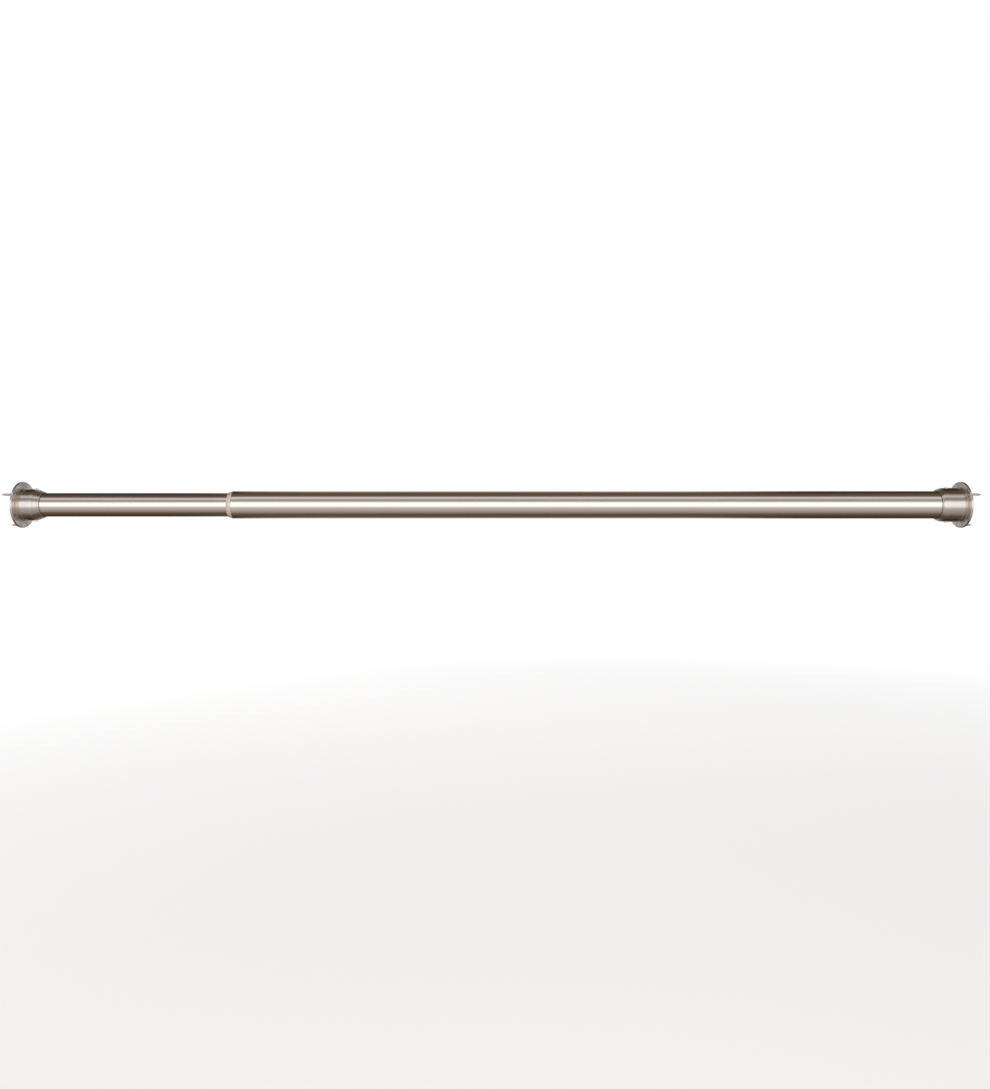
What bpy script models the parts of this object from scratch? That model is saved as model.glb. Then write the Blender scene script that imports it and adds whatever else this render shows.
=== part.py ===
"""Adjustable rod held between two round wall flanges, in metres with +Z up.

The rod lies along X. The origin is the centre of the right-hand flange's wall face, and the rod
runs from there towards -X, through the larger tube, the smaller tube and the left-hand flange.

Each end has an empty on its wall face. Its local Z points away from the wall along the rod and its
local X points up, so both ends are made by the same functions.
"""

import math
from dataclasses import dataclass

import bmesh
import bpy
from mathutils import Matrix

# Whole object
SPAN = 1.136  # from wall face to wall face
FIT_GAP = 0.0003  # left between any two pieces that touch

# Tubes
OUTER_TUBE_RADIUS = 0.01665
OUTER_TUBE_LENGTH = 0.877
INNER_TUBE_LENGTH = 0.785
TUBE_WALL = 0.001

# Collar in the mouth of the outer tube
COLLAR_SLEEVE_WALL = 0.00075
COLLAR_SLEEVE_LENGTH = 0.026
COLLAR_RING_LENGTH = 0.0055
COLLAR_RING_LAND = 0.0014  # the part of the ring that isn't tapered
COLLAR_NOSE_WALL = 0.00035

# Glide on the hidden end of the inner tube
GLIDE_PLUG_LENGTH = 0.016
GLIDE_PLUG_WALL = 0.0016
GLIDE_HEAD_LENGTH = 0.006
GLIDE_HEAD_CHAMFER = 0.0012

# Both flanges
BASE_THICKNESS = 0.0022
BASE_EDGE = 0.0005
ROOT_FILLET = 0.0008

# Neck of each flange: wall thicknesses are measured outward from its bore, and the neck's length
# and the place of its set screws from the wall face
RIGHT_NECK_LENGTH = 0.024
RIGHT_ROOT_WALL = 0.00375
RIGHT_END_WALL = 0.00335
RIGHT_SHOULDER_LENGTH = 0.004
RIGHT_NOSE_WALL = 0.00255
RIGHT_NOSE_LENGTH = 0.0026
RIGHT_MOUTH_WALL = 0.00095
RIGHT_SET_SCREW_PLACE = 0.018
LEFT_NECK_LENGTH = 0.0189
LEFT_ROOT_WALL = 0.0046
LEFT_END_WALL = 0.0043
LEFT_SHOULDER_LENGTH = 0.0024
LEFT_NOSE_WALL = 0.0018
LEFT_NOSE_LENGTH = 0.0061
LEFT_MOUTH_WALL = 0.0008
LEFT_SET_SCREW_PLACE = 0.0163

# Set screws that grip the tubes
SET_SCREW_RADIUS = 0.002
SET_SCREW_PROUD = 0.0011
SET_SCREW_EDGE = 0.0004
HEX_RADIUS = 0.00115  # corner radius of the hexagonal socket
HEX_DEPTH = 0.0019

# Countersunk wood screws that hold each flange to its wall
WALL_SCREW_COUNT = 3
WALL_SCREW_NAMES = ("bottom", "front", "back")
WALL_SCREW_RADIUS = 0.0015
WALL_SCREW_HEAD_RADIUS = 0.0029
WALL_SCREW_HEAD_EDGE = 0.0002
WALL_SCREW_LENGTH = 0.016
WALL_SCREW_POINT = 0.004
SCREW_LAND_EDGE = 0.00045  # base left on each side of a countersink
CROSS_HALF_WIDTH = 0.00038
CROSS_HALF_LENGTH = 0.0016
CROSS_DEPTH = 0.0012
CROSS_TAPER = 0.45  # size of the recess at its floor, as a share of its mouth

# Fineness of the solids
ROUND_STEPS = 48
SCREW_STEPS = 16
FILLET_STEPS = 3
CUTTER_MARGIN = 0.002  # how far a cutter reaches past the face it opens
WELD_DISTANCE = 1e-6
SMOOTH_ANGLE = math.radians(30)

# Worked out from the sizes above
OUTER_BORE = OUTER_TUBE_RADIUS - TUBE_WALL
INNER_TUBE_RADIUS = OUTER_BORE - COLLAR_SLEEVE_WALL - 2 * FIT_GAP
INNER_BORE = INNER_TUBE_RADIUS - TUBE_WALL
TUBE_SEAT = BASE_THICKNESS + FIT_GAP  # where a tube's end stands, above the wall face
SCREW_LAND = 2 * (WALL_SCREW_HEAD_RADIUS + FIT_GAP + SCREW_LAND_EDGE)
HEAD_DEPTH = WALL_SCREW_HEAD_EDGE + WALL_SCREW_HEAD_RADIUS - WALL_SCREW_RADIUS


@dataclass
class Neck:
    """Sizes of one flange's neck, the tube that it holds among them."""

    side: str
    tube_radius: float
    length: float
    root_wall: float
    end_wall: float
    shoulder_length: float
    nose_wall: float
    nose_length: float
    mouth_wall: float
    set_screw_place: float

    @property
    def bore(self):
        return self.tube_radius + FIT_GAP

    @property
    def root_radius(self):
        return self.bore + self.root_wall

    @property
    def mouth(self):
        """Height of the neck's open end above the wall face."""
        return self.length + self.shoulder_length + self.nose_length

    def radius_at(self, height):
        """Outer radius of the straight-sided part of the neck at a height above the wall face."""
        share = (height - BASE_THICKNESS) / (self.length - BASE_THICKNESS)
        return self.bore + self.root_wall + share * (self.end_wall - self.root_wall)


RIGHT_NECK = Neck(
    "right",
    OUTER_TUBE_RADIUS,
    RIGHT_NECK_LENGTH,
    RIGHT_ROOT_WALL,
    RIGHT_END_WALL,
    RIGHT_SHOULDER_LENGTH,
    RIGHT_NOSE_WALL,
    RIGHT_NOSE_LENGTH,
    RIGHT_MOUTH_WALL,
    RIGHT_SET_SCREW_PLACE,
)
LEFT_NECK = Neck(
    "left",
    INNER_TUBE_RADIUS,
    LEFT_NECK_LENGTH,
    LEFT_ROOT_WALL,
    LEFT_END_WALL,
    LEFT_SHOULDER_LENGTH,
    LEFT_NOSE_WALL,
    LEFT_NOSE_LENGTH,
    LEFT_MOUTH_WALL,
    LEFT_SET_SCREW_PLACE,
)
BASE_RADIUS = max(RIGHT_NECK.root_radius, LEFT_NECK.root_radius) + SCREW_LAND
SCREW_CIRCLE_RADIUS = BASE_RADIUS - SCREW_LAND / 2


def clear_scene():
    for obj in list(bpy.data.objects):
        bpy.data.objects.remove(obj, do_unlink=True)


def make_material(name, colour, roughness, metallic):
    material = bpy.data.materials.new(name)
    material.use_nodes = True
    shader = material.node_tree.nodes["Principled BSDF"]
    shader.inputs["Base Color"].default_value = (*colour, 1.0)
    shader.inputs["Roughness"].default_value = roughness
    shader.inputs["Metallic"].default_value = metallic
    return material


def make_end(name, x, outward):
    """An empty on a wall face: its Z runs along the rod, away from the wall, and its X is up."""
    end = bpy.data.objects.new(name, None)
    bpy.context.scene.collection.objects.link(end)
    up = (0.0, 0.0, 1.0)
    side = (0.0, -outward, 0.0)
    away = (outward, 0.0, 0.0)
    turn = Matrix((up, side, away)).transposed().to_4x4()
    end.matrix_world = Matrix.Translation((x, 0.0, 0.0)) @ turn
    return end


def add_object(name, shape, parent, material=None):
    """A finished bmesh as a shaded object under one end's empty."""
    bmesh.ops.remove_doubles(shape, verts=shape.verts, dist=WELD_DISTANCE)
    bmesh.ops.recalc_face_normals(shape, faces=shape.faces)
    mesh = bpy.data.meshes.new(name)
    shape.to_mesh(mesh)
    shape.free()
    mesh.shade_smooth()
    mesh.set_sharp_from_angle(angle=SMOOTH_ANGLE)
    if material is not None:
        mesh.materials.append(material)
    obj = bpy.data.objects.new(name, mesh)
    bpy.context.scene.collection.objects.link(obj)
    obj.parent = parent
    return obj


def turned(name, outline, parent, material=None, steps=ROUND_STEPS):
    """A solid turned about Z from a closed outline of (radius, height) points. Its facets lie
    square to X and Y, half a step round, so that no corner falls on a cutter's own corner."""
    shape = bmesh.new()
    lean = math.pi / steps
    points = [
        shape.verts.new((radius * math.cos(lean), radius * math.sin(lean), height))
        for radius, height in outline
    ]
    following = points[1:] + points[:1]
    edges = [
        shape.edges.new((first, second))
        for first, second in zip(points, following)
        if first.co.x > 0 or second.co.x > 0
    ]
    bmesh.ops.spin(
        shape,
        geom=points + edges,
        cent=(0, 0, 0),
        axis=(0, 0, 1),
        angle=math.tau,
        steps=steps,
        use_merge=True,
    )
    return add_object(name, shape, parent, material)


def prism(name, corners, depth, floor_scale, parent):
    """A prism below Z = CUTTER_MARGIN whose floor, at -depth, may be smaller than its mouth."""
    shape = bmesh.new()
    floor = [shape.verts.new((x * floor_scale, y * floor_scale, -depth)) for x, y in corners]
    rim = [shape.verts.new((x, y, 0.0)) for x, y in corners]
    top = [shape.verts.new((x, y, CUTTER_MARGIN)) for x, y in corners]
    for lower, upper in ((floor, rim), (rim, top)):
        for i in range(len(corners)):
            j = (i + 1) % len(corners)
            shape.faces.new((lower[i], lower[j], upper[j], upper[i]))
    shape.faces.new(floor)
    shape.faces.new(top)
    return add_object(name, shape, parent)


def as_cutter(obj):
    obj.hide_render = True
    obj.display_type = "WIRE"
    return obj


def cut(obj, cutter):
    modifier = obj.modifiers.new(cutter.name, "BOOLEAN")
    modifier.operation = "DIFFERENCE"
    modifier.object = cutter
    modifier.solver = "EXACT"


def fillet(radius, height, size):
    """Points of a quarter-round hollow between a flat face and an upright wall, from the face up."""
    return [
        (
            radius + size * (1 - math.sin(step * math.pi / 2 / FILLET_STEPS)),
            height + size * (1 - math.cos(step * math.pi / 2 / FILLET_STEPS)),
        )
        for step in range(FILLET_STEPS + 1)
    ]


def flange_outline(neck):
    """Half section of a flange: round base, drafted neck, shoulder, nose, and a blind bore."""
    shoulder_top = neck.length + neck.shoulder_length
    return [
        (0.0, 0.0),
        (BASE_RADIUS, 0.0),
        (BASE_RADIUS, BASE_THICKNESS - BASE_EDGE),
        (BASE_RADIUS - BASE_EDGE, BASE_THICKNESS),
        *fillet(neck.root_radius, BASE_THICKNESS, ROOT_FILLET),
        (neck.bore + neck.end_wall, neck.length),
        (neck.bore + neck.nose_wall, shoulder_top),
        (neck.bore + neck.mouth_wall, neck.mouth),
        (neck.bore, neck.mouth),
        (neck.bore, BASE_THICKNESS),
        (0.0, BASE_THICKNESS),
    ]


def wall_screw_outline(extra=0.0, reach=0.0):
    """Half section of a countersunk screw, its face at height 0. A cutter for its hole is larger
    all round by extra and runs straight on by reach, above the face and below the base."""
    head = WALL_SCREW_HEAD_RADIUS + extra
    shank = WALL_SCREW_RADIUS + extra
    if reach:
        tip = [(shank, -BASE_THICKNESS - reach), (0.0, -BASE_THICKNESS - reach)]
    else:
        tip = [(shank, WALL_SCREW_POINT - WALL_SCREW_LENGTH), (0.0, -WALL_SCREW_LENGTH)]
    return [(0.0, reach), (head, reach), (head, -WALL_SCREW_HEAD_EDGE), (shank, -HEAD_DEPTH), *tip]


def wall_screw_spots():
    """Name and place of each wood screw's face, the first one straight down from the rod."""
    for number, name in enumerate(WALL_SCREW_NAMES):
        angle = math.pi + number * math.tau / WALL_SCREW_COUNT
        x = SCREW_CIRCLE_RADIUS * math.cos(angle)
        y = SCREW_CIRCLE_RADIUS * math.sin(angle)
        yield name, (x, y, BASE_THICKNESS)


def cross_corners():
    """The twelve corners of a plus sign, counter-clockwise."""
    arm = [
        (CROSS_HALF_LENGTH, -CROSS_HALF_WIDTH),
        (CROSS_HALF_LENGTH, CROSS_HALF_WIDTH),
        (CROSS_HALF_WIDTH, CROSS_HALF_WIDTH),
    ]
    corners = []
    for _ in range(4):
        corners += arm
        arm = [(-y, x) for x, y in arm]
    return corners


def hexagon_corners():
    angles = [step * math.tau / 6 for step in range(6)]
    return [(HEX_RADIUS * math.cos(a), HEX_RADIUS * math.sin(a)) for a in angles]


def make_wall_screws(neck, end, flange, mirror, material):
    """The flange's wood screws and their countersunk holes. mirror swaps front and back on an
    end whose local Y points the other way, so that a name means the same place at both ends."""
    for name, (x, y, z) in wall_screw_spots():
        place = (x, y * mirror, z)
        label = f"{neck.side}_wall_screw_{name}"
        hole = turned(
            f"{label}_hole", wall_screw_outline(FIT_GAP, CUTTER_MARGIN), end, steps=SCREW_STEPS
        )
        hole.location = place
        cut(flange, as_cutter(hole))
        screw = turned(label, wall_screw_outline(), end, material, SCREW_STEPS)
        screw.location = place
        recess = prism(f"{label}_recess", cross_corners(), CROSS_DEPTH, CROSS_TAPER, end)
        recess.location = place
        cut(screw, as_cutter(recess))


def make_set_screws(neck, end, flange, material):
    """Two hexagon-socket screws, above and below the tube, and their holes through the neck.
    Each screw's local Z points out along its own axis, from an origin on the rod's axis."""
    tip = neck.tube_radius + FIT_GAP
    top = neck.radius_at(neck.set_screw_place) + SET_SCREW_PROUD
    edge = SET_SCREW_EDGE
    outline = [
        (0.0, tip),
        (SET_SCREW_RADIUS - edge, tip),
        (SET_SCREW_RADIUS, tip + edge),
        (SET_SCREW_RADIUS, top - edge),
        (SET_SCREW_RADIUS - edge, top),
        (0.0, top),
    ]
    hole_radius = SET_SCREW_RADIUS + FIT_GAP
    inside = neck.bore - CUTTER_MARGIN
    outside = neck.root_radius + CUTTER_MARGIN
    hole_outline = [(0.0, inside), (hole_radius, inside), (hole_radius, outside), (0.0, outside)]
    for name, lean in (("top", math.pi / 2), ("bottom", -math.pi / 2)):
        label = f"{neck.side}_set_screw_{name}"
        turn = Matrix.Rotation(lean, 4, "Y")
        place = Matrix.Translation((0.0, 0.0, neck.set_screw_place)) @ turn
        hole = turned(f"{label}_hole", hole_outline, end, steps=SCREW_STEPS)
        hole.matrix_local = place
        cut(flange, as_cutter(hole))
        screw = turned(label, outline, end, material, SCREW_STEPS)
        screw.matrix_local = place
        socket = prism(f"{label}_socket", hexagon_corners(), HEX_DEPTH, 1.0, end)
        socket.matrix_local = place @ Matrix.Translation((0.0, 0.0, top))
        cut(screw, as_cutter(socket))


def make_flange(neck, end, mirror, nickel, steel):
    flange = turned(f"{neck.side}_flange", flange_outline(neck), end, nickel)
    make_wall_screws(neck, end, flange, mirror, steel)
    make_set_screws(neck, end, flange, steel)


def make_tube(name, radius, length, end, material):
    """A plain tube standing in its flange's socket."""
    bore = radius - TUBE_WALL
    outline = [(bore, 0.0), (radius, 0.0), (radius, length), (bore, length)]
    tube = turned(name, outline, end, material)
    tube.location = (0.0, 0.0, TUBE_SEAT)


def make_collar(end, material):
    """Sleeve inside the outer tube's mouth, with a ring outside that tapers to the inner tube."""
    inside = INNER_TUBE_RADIUS + FIT_GAP
    sleeve = OUTER_BORE - FIT_GAP
    ring_start = FIT_GAP
    ring_end = ring_start + COLLAR_RING_LENGTH
    outline = [
        (inside, -COLLAR_SLEEVE_LENGTH),
        (sleeve, -COLLAR_SLEEVE_LENGTH),
        (sleeve, ring_start),
        (OUTER_TUBE_RADIUS, ring_start),
        (OUTER_TUBE_RADIUS, ring_start + COLLAR_RING_LAND),
        (inside + COLLAR_NOSE_WALL, ring_end),
        (inside, ring_end),
    ]
    collar = turned("tube_collar", outline, end, material)
    collar.location = (0.0, 0.0, TUBE_SEAT + OUTER_TUBE_LENGTH)


def make_glide(end, material):
    """Plug in the inner tube's hidden end, with a head that runs in the outer tube's bore."""
    plug = INNER_BORE - FIT_GAP
    inside = plug - GLIDE_PLUG_WALL
    head = OUTER_BORE - FIT_GAP
    head_start = FIT_GAP
    head_end = head_start + GLIDE_HEAD_LENGTH
    outline = [
        (inside, -GLIDE_PLUG_LENGTH),
        (plug, -GLIDE_PLUG_LENGTH),
        (plug, head_start),
        (head, head_start),
        (head, head_end - GLIDE_HEAD_CHAMFER),
        (head - GLIDE_HEAD_CHAMFER, head_end),
        (inside, head_end),
    ]
    glide = turned("end_glide", outline, end, material)
    glide.location = (0.0, 0.0, TUBE_SEAT + INNER_TUBE_LENGTH)


def main():
    clear_scene()
    tube_nickel = make_material("tube_nickel", (0.62, 0.56, 0.50), 0.28, 1.0)
    flange_nickel = make_material("flange_nickel", (0.60, 0.54, 0.48), 0.25, 1.0)
    screw_steel = make_material("screw_steel", (0.66, 0.64, 0.61), 0.3, 1.0)
    cream_plastic = make_material("cream_plastic", (0.78, 0.69, 0.58), 0.45, 0.0)

    right_end = make_end("right_wall_point", 0.0, -1.0)
    left_end = make_end("left_wall_point", -SPAN, 1.0)

    make_flange(RIGHT_NECK, right_end, 1.0, flange_nickel, screw_steel)
    make_flange(LEFT_NECK, left_end, -1.0, flange_nickel, screw_steel)
    make_tube("outer_tube", OUTER_TUBE_RADIUS, OUTER_TUBE_LENGTH, right_end, tube_nickel)
    make_tube("inner_tube", INNER_TUBE_RADIUS, INNER_TUBE_LENGTH, left_end, tube_nickel)
    make_collar(right_end, cream_plastic)
    make_glide(left_end, cream_plastic)


main()
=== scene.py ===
"""Looks for the adjustable rod between two wall flanges, in metres, +Z up, rod along X.

Every piece is a surface carried round an axis: rows of heights along the axis and radii off it,
worked out as whole arrays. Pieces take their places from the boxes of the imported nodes, and a
length that no box gives is a named size below, measured from a wall face or from the rod's axis.
"""

import math

import bmesh
import bpy
import numpy as np
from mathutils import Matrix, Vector


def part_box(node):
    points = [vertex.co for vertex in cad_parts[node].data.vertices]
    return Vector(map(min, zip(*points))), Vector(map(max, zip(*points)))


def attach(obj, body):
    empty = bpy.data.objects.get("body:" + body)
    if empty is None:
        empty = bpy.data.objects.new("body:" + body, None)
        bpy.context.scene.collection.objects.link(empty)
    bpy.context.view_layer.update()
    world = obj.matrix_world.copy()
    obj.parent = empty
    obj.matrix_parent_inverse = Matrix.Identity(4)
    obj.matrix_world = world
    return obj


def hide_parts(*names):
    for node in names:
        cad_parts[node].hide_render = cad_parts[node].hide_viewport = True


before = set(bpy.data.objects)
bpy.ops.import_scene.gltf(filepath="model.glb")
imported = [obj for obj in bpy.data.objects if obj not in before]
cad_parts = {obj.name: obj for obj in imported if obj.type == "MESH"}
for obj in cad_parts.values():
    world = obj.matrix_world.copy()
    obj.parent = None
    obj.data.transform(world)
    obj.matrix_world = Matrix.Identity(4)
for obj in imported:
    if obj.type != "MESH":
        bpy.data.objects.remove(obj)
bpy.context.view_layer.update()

MM = 0.001
TURN = math.tau

# Camera, level with the rod
CAMERA_PLACE = (-0.564, -1.04, 0.0)
CAMERA_LENS = 28.41
CAMERA_SHIFT = -0.0364  # the rod hangs a little above the middle of the picture

# Stage
ROD_MIDDLE = (-0.57, 0.0, 0.0)
FLOOR_DROP = 0.75
FLOOR_SIZE = 60.0
FLOOR_FADE = (1.0, 5.0)  # distances between which the floor pales to the backdrop's white
FLOOR_GLOW = 0.62
SOFT_WHITE = (1.0, 0.98, 0.95)

# Tent that the metal reflects: degrees above the front horizon, going up and over the rod, and how
# brightly the cloth is lit there, from 0 to 1. A broad panel stands in front and a narrow one above
# it, with a soft fill below, a panel behind, and unlit cloth overhead and underneath.
TENT = [
    (-180, 0.9), (-150, 0.3), (-120, 0.0), (-85, 0.0), (-60, 0.2), (-25, 0.4), (-8, 1.0), (16, 1.0),
    (32, 0.2), (46, 0.2), (58, 0.6), (80, 0.0), (120, 0.0), (150, 0.3), (180, 0.9),
]
TENT_STRENGTH = 1.7
LIT_CLOTH = (0.98, 1.02, 1.08)
UNLIT_CLOTH = (0.10, 0.065, 0.045)
# How far aside a direction points is the sine of its angle off the square to the rod
END_CLOTH = (0.43, 0.44, 0.46)  # even cloth beyond both ends
END_SHARE = 0.6
END_ASIDE = (0.55, 0.75)
CARD = 0.8  # share taken off by the dark cards behind the rod at both ends
CARD_ASIDE = (0.2, 0.35, 0.55, 0.7)
CARD_BEHIND = (0.15, 0.5)  # how squarely a direction must point backwards to meet a card
# Softboxes, in metres and watts
SOFTBOX_SIZE = (2.4, 1.2)
FRONT_SOFTBOX = ((-0.75, -2.2, 0.15), 72.0)
BACK_SOFTBOX = ((-0.2, 2.2, 0.9), 14.0)

# Colours
NICKEL = (0.66, 0.605, 0.53)
NICKEL_LINE = (0.614, 0.563, 0.493)
NICKEL_RUBBED = (0.74, 0.69, 0.615)
CAST_NICKEL = (0.54, 0.495, 0.434)
CAST_LINE = (0.50, 0.458, 0.40)
CAST_RUBBED = (0.68, 0.63, 0.56)
# Lighter nickel for the base's face, a painted highlight that brightens its reflection
FACE_HIGHLIGHT_NICKEL = (0.85, 0.76, 0.67)
STEEL = (0.76, 0.71, 0.64)
STEEL_LIGHT = (0.83, 0.78, 0.71)
STEEL_RUBBED = (0.92, 0.88, 0.83)
CREAM = (0.34, 0.255, 0.21)
CREAM_LIGHT = (0.38, 0.295, 0.245)
CREAM_RUBBED = (0.46, 0.37, 0.31)
# Dust, which also darkens the nooks as painted shade, and grime with painted shade for the screws'
# thread roots and recesses
DUST_AND_SHADE = (0.20, 0.16, 0.125)
GRIME_AND_SHADE = (0.14, 0.115, 0.095)

# Both flanges
BASE_THICKNESS = 2.2 * MM
ROOT_FILLET = 0.8 * MM
RIM_EDGE = 0.5 * MM
FLANGE_STEPS = 192
RING_PITCHES = (0.31 * MM, 0.47 * MM)
RING_DEPTH = 0.035 * MM
RING_ROW = 0.04 * MM
RING_BORDER = 0.5 * MM  # the rings fade out over this much of the face at each border

# Each neck: radii off the rod's axis, heights above the wall face, and the bends between them
NECKS = {
    "right": {
        "bore": 16.95 * MM, "root": 20.7 * MM, "length": 24.0 * MM, "end": 20.3 * MM,
        "top": 28.0 * MM, "shoulder": 19.5 * MM, "tip": 30.6 * MM, "mouth": 17.9 * MM,
        "end_bend": 28.0 * MM, "top_bend": 5.0 * MM,
    },
    "left": {
        "bore": 14.6 * MM, "root": 19.2 * MM, "length": 18.5 * MM, "end": 18.9 * MM,
        "top": 22.6 * MM, "shoulder": 16.8 * MM, "tip": 27.4 * MM, "mouth": 15.4 * MM,
        "end_bend": 7.0 * MM, "top_bend": 9.0 * MM,
    },
}

# Tubes, collar and glide
OUTER_BORE = 15.65 * MM
INNER_BORE = 13.3 * MM
COLLAR_BORE = 14.58 * MM
COLLAR_SLEEVE = 15.35 * MM
COLLAR_LAND = 1.3 * MM  # the straight part of the ring, before its taper
COLLAR_LIP = 0.5 * MM  # length and height of the thin lip that the taper runs out to
PARTING_LINE = 0.05 * MM
GLIDE_BORE = 11.4 * MM
GLIDE_PLUG = 12.9 * MM
GLIDE_HEAD_LENGTH = 6.0 * MM
GLIDE_CHAMFER = 1.2 * MM
GLIDE_RIBS = (3.0 * MM, 6.5 * MM, 10.0 * MM)

# Wood screws
WALL_SCREW_LABELS = ("bottom", "front", "back")
WALL_HEAD = 2.86 * MM
WALL_HEAD_EDGE = 0.2 * MM
WALL_CORE = 1.05 * MM
WALL_CREST = 1.5 * MM
WALL_PITCH = 1.3 * MM
WALL_POINT = 4.2 * MM
CROSS_HALF_WIDTH = 0.38 * MM
CROSS_HALF_LENGTH = 1.6 * MM
SINK_CLEAR = 0.18 * MM
SHANK_HOLE = 1.8 * MM

# Set screws
SET_LABELS = ("top", "bottom")
SET_CREST = 1.99 * MM
SET_ROOT = 1.7 * MM
SET_PITCH = 0.7 * MM
SET_PLAIN = 1.3 * MM  # smooth part above the thread
SET_CHAMFER = 0.34 * MM
SET_HOLE = 2.1 * MM
SOCKET_HALF = 1.0 * MM  # from the middle of the hexagon to its flats
SOCKET_DEPTH = 1.9 * MM


# ---------------------------------------------------------------- shapes

def profile(corners, step, arc_steps=5):
    """Heights and radii along a line of (height, radius, rounding) corners. Each corner is an arc
    of its rounding, tangent to both sides, and the straights between are split every step."""
    place = np.array([corner[:2] for corner in corners], float)
    pieces = [place[:1]]
    for before, (*here, size), after in zip(place, corners[1:-1], place[2:]):
        here = np.array(here)
        if size == 0:
            pieces.append(here[None])
            continue
        back = (before - here) / np.linalg.norm(before - here)
        ahead = (after - here) / np.linalg.norm(after - here)
        half = math.acos(np.clip(back @ ahead, -1, 1)) / 2
        middle = (back + ahead) / np.linalg.norm(back + ahead)
        centre = here + middle * size / math.sin(half)
        start = here + back * size / math.tan(half) - centre
        end = here + ahead * size / math.tan(half) - centre
        share = np.linspace(0, 1, arc_steps + 1)[:, None]
        sweep = math.pi - 2 * half
        arc = (np.sin((1 - share) * sweep) * start + np.sin(share * sweep) * end) / math.sin(sweep)
        pieces.append(centre + arc)
    line = np.concatenate([*pieces, place[-1:]])
    split = [line[:1]]
    for first, second in zip(line, line[1:]):
        count = max(1, int(np.linalg.norm(second - first) / step))
        split.append(first + (second - first) * np.linspace(0, 1, count + 1)[1:, None])
    line = np.concatenate(split)
    return line[:, 0], line[:, 1]


def around(steps, lean=0.0):
    """Even angles once round. A small lean keeps the corners of a piece off those of a cutter."""
    return np.arange(steps) * TURN / steps + lean


def carried_round(name, heights, radii, angles, origin, axis, closed=False, smooth=30, marks=None):
    """A surface of rows by angles. The point is origin + height * axis + radius * (cos a * u +
    sin a * v), with u, v and axis square to one another. Rows run up the outside, so faces point
    outwards. Closed joins the last row to the first. Rows of no radius weld into poles. Marks are
    values of each row and angle that the material reads."""
    axis = np.array(axis, float)
    u = np.array((0.0, 0.0, 1.0)) if abs(axis[2]) < 0.5 else np.array((1.0, 0.0, 0.0))
    v = np.cross(axis, u)
    h, r, a = np.broadcast_arrays(
        heights.reshape(len(heights), -1), radii.reshape(len(radii), -1), angles[None, :]
    )
    out = np.cos(a)[..., None] * u + np.sin(a)[..., None] * v
    points = np.array(origin) + h[..., None] * axis + r[..., None] * out
    rows, columns = a.shape
    i = np.arange(rows if closed else rows - 1)[:, None]
    j = np.arange(columns)[None, :]
    below, above = i * columns, (i + 1) % rows * columns
    after = (j + 1) % columns
    faces = np.stack([below + j, below + after, above + after, above + j], -1)
    mesh = bpy.data.meshes.new(name)
    mesh.from_pydata(points.reshape(-1, 3), [], faces.reshape(-1, 4).tolist())
    for label, values in (marks or {}).items():
        spread_out = np.broadcast_to(values, (rows, columns)).astype(np.float32).ravel()
        mesh.attributes.new(label, "FLOAT", "POINT").data.foreach_set("value", spread_out)
    shape = bmesh.new()
    shape.from_mesh(mesh)
    bmesh.ops.remove_doubles(shape, verts=shape.verts, dist=1e-7)
    shape.to_mesh(mesh)
    shape.free()
    obj = bpy.data.objects.new(name, mesh)
    bpy.context.scene.collection.objects.link(obj)
    soften(mesh, smooth)
    return obj


def soften(mesh, degrees):
    """Smooth shading, but sharp where two faces meet at more than so many degrees."""
    mesh.shade_smooth()
    mesh.set_sharp_from_angle(angle=math.radians(degrees))


def cut_out(obj, cutters, smooth):
    """Takes the cutters out of a piece and keeps the result as its mesh."""
    shape = bmesh.new()
    for cutter in cutters:
        shape.from_mesh(cutter.data)
        bpy.data.objects.remove(cutter)
    mesh = bpy.data.meshes.new("cutters")
    shape.to_mesh(mesh)
    shape.free()
    tool = bpy.data.objects.new("cutters", mesh)
    bpy.context.scene.collection.objects.link(tool)
    modifier = obj.modifiers.new("holes", "BOOLEAN")
    modifier.operation = "DIFFERENCE"
    modifier.object = tool
    modifier.solver = "EXACT"
    graph = bpy.context.evaluated_depsgraph_get()
    made = bpy.data.meshes.new_from_object(obj.evaluated_get(graph))
    obj.modifiers.clear()
    obj.data = made
    bpy.data.objects.remove(tool)
    soften(made, smooth)


def mark_corners(obj, start, worn, nook, width):
    """Stores how near each point is to the worn corners and to the nooks, which dust and painted shade
    darken. Both are (height, radius) corners of the profile, and the mark is exp(-(distance / width)
    squared)."""
    mesh = obj.data
    points = np.empty(len(mesh.vertices) * 3, np.float32)
    mesh.vertices.foreach_get("co", points)
    x, y, z = points.reshape(-1, 3).T.astype(float)
    place = np.stack([np.abs(x - start), np.hypot(y, z)], -1)
    for label, corners in (("worn", worn), ("nook", nook)):
        apart = np.linalg.norm(place[:, None] - np.array(corners)[None], axis=-1).min(1)
        mark = np.exp(-((apart / width) ** 2)).astype(np.float32)
        mesh.attributes.new(label, "FLOAT", "POINT").data.foreach_set("value", mark)
    return mesh, place


def rows_of(table, columns):
    """Arrays of height, radius, wear, and grime with painted shade, from rows of one value, or one for
    each angle.
    """
    return [
        np.stack([np.broadcast_to(np.asarray(value, float), columns) for value in column])
        for column in zip(*table)
    ]


# ---------------------------------------------------------------- shader nodes

def add(tree, kind, inputs=None, **settings):
    """A node with its settings. An input is a value or another node's output."""
    node = tree.nodes.new(kind)
    for name, value in settings.items():
        setattr(node, name, value)
    for socket, value in (inputs or {}).items():
        if isinstance(value, bpy.types.NodeSocket):
            tree.links.new(value, node.inputs[socket])
        else:
            node.inputs[socket].default_value = value
    return node


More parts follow.
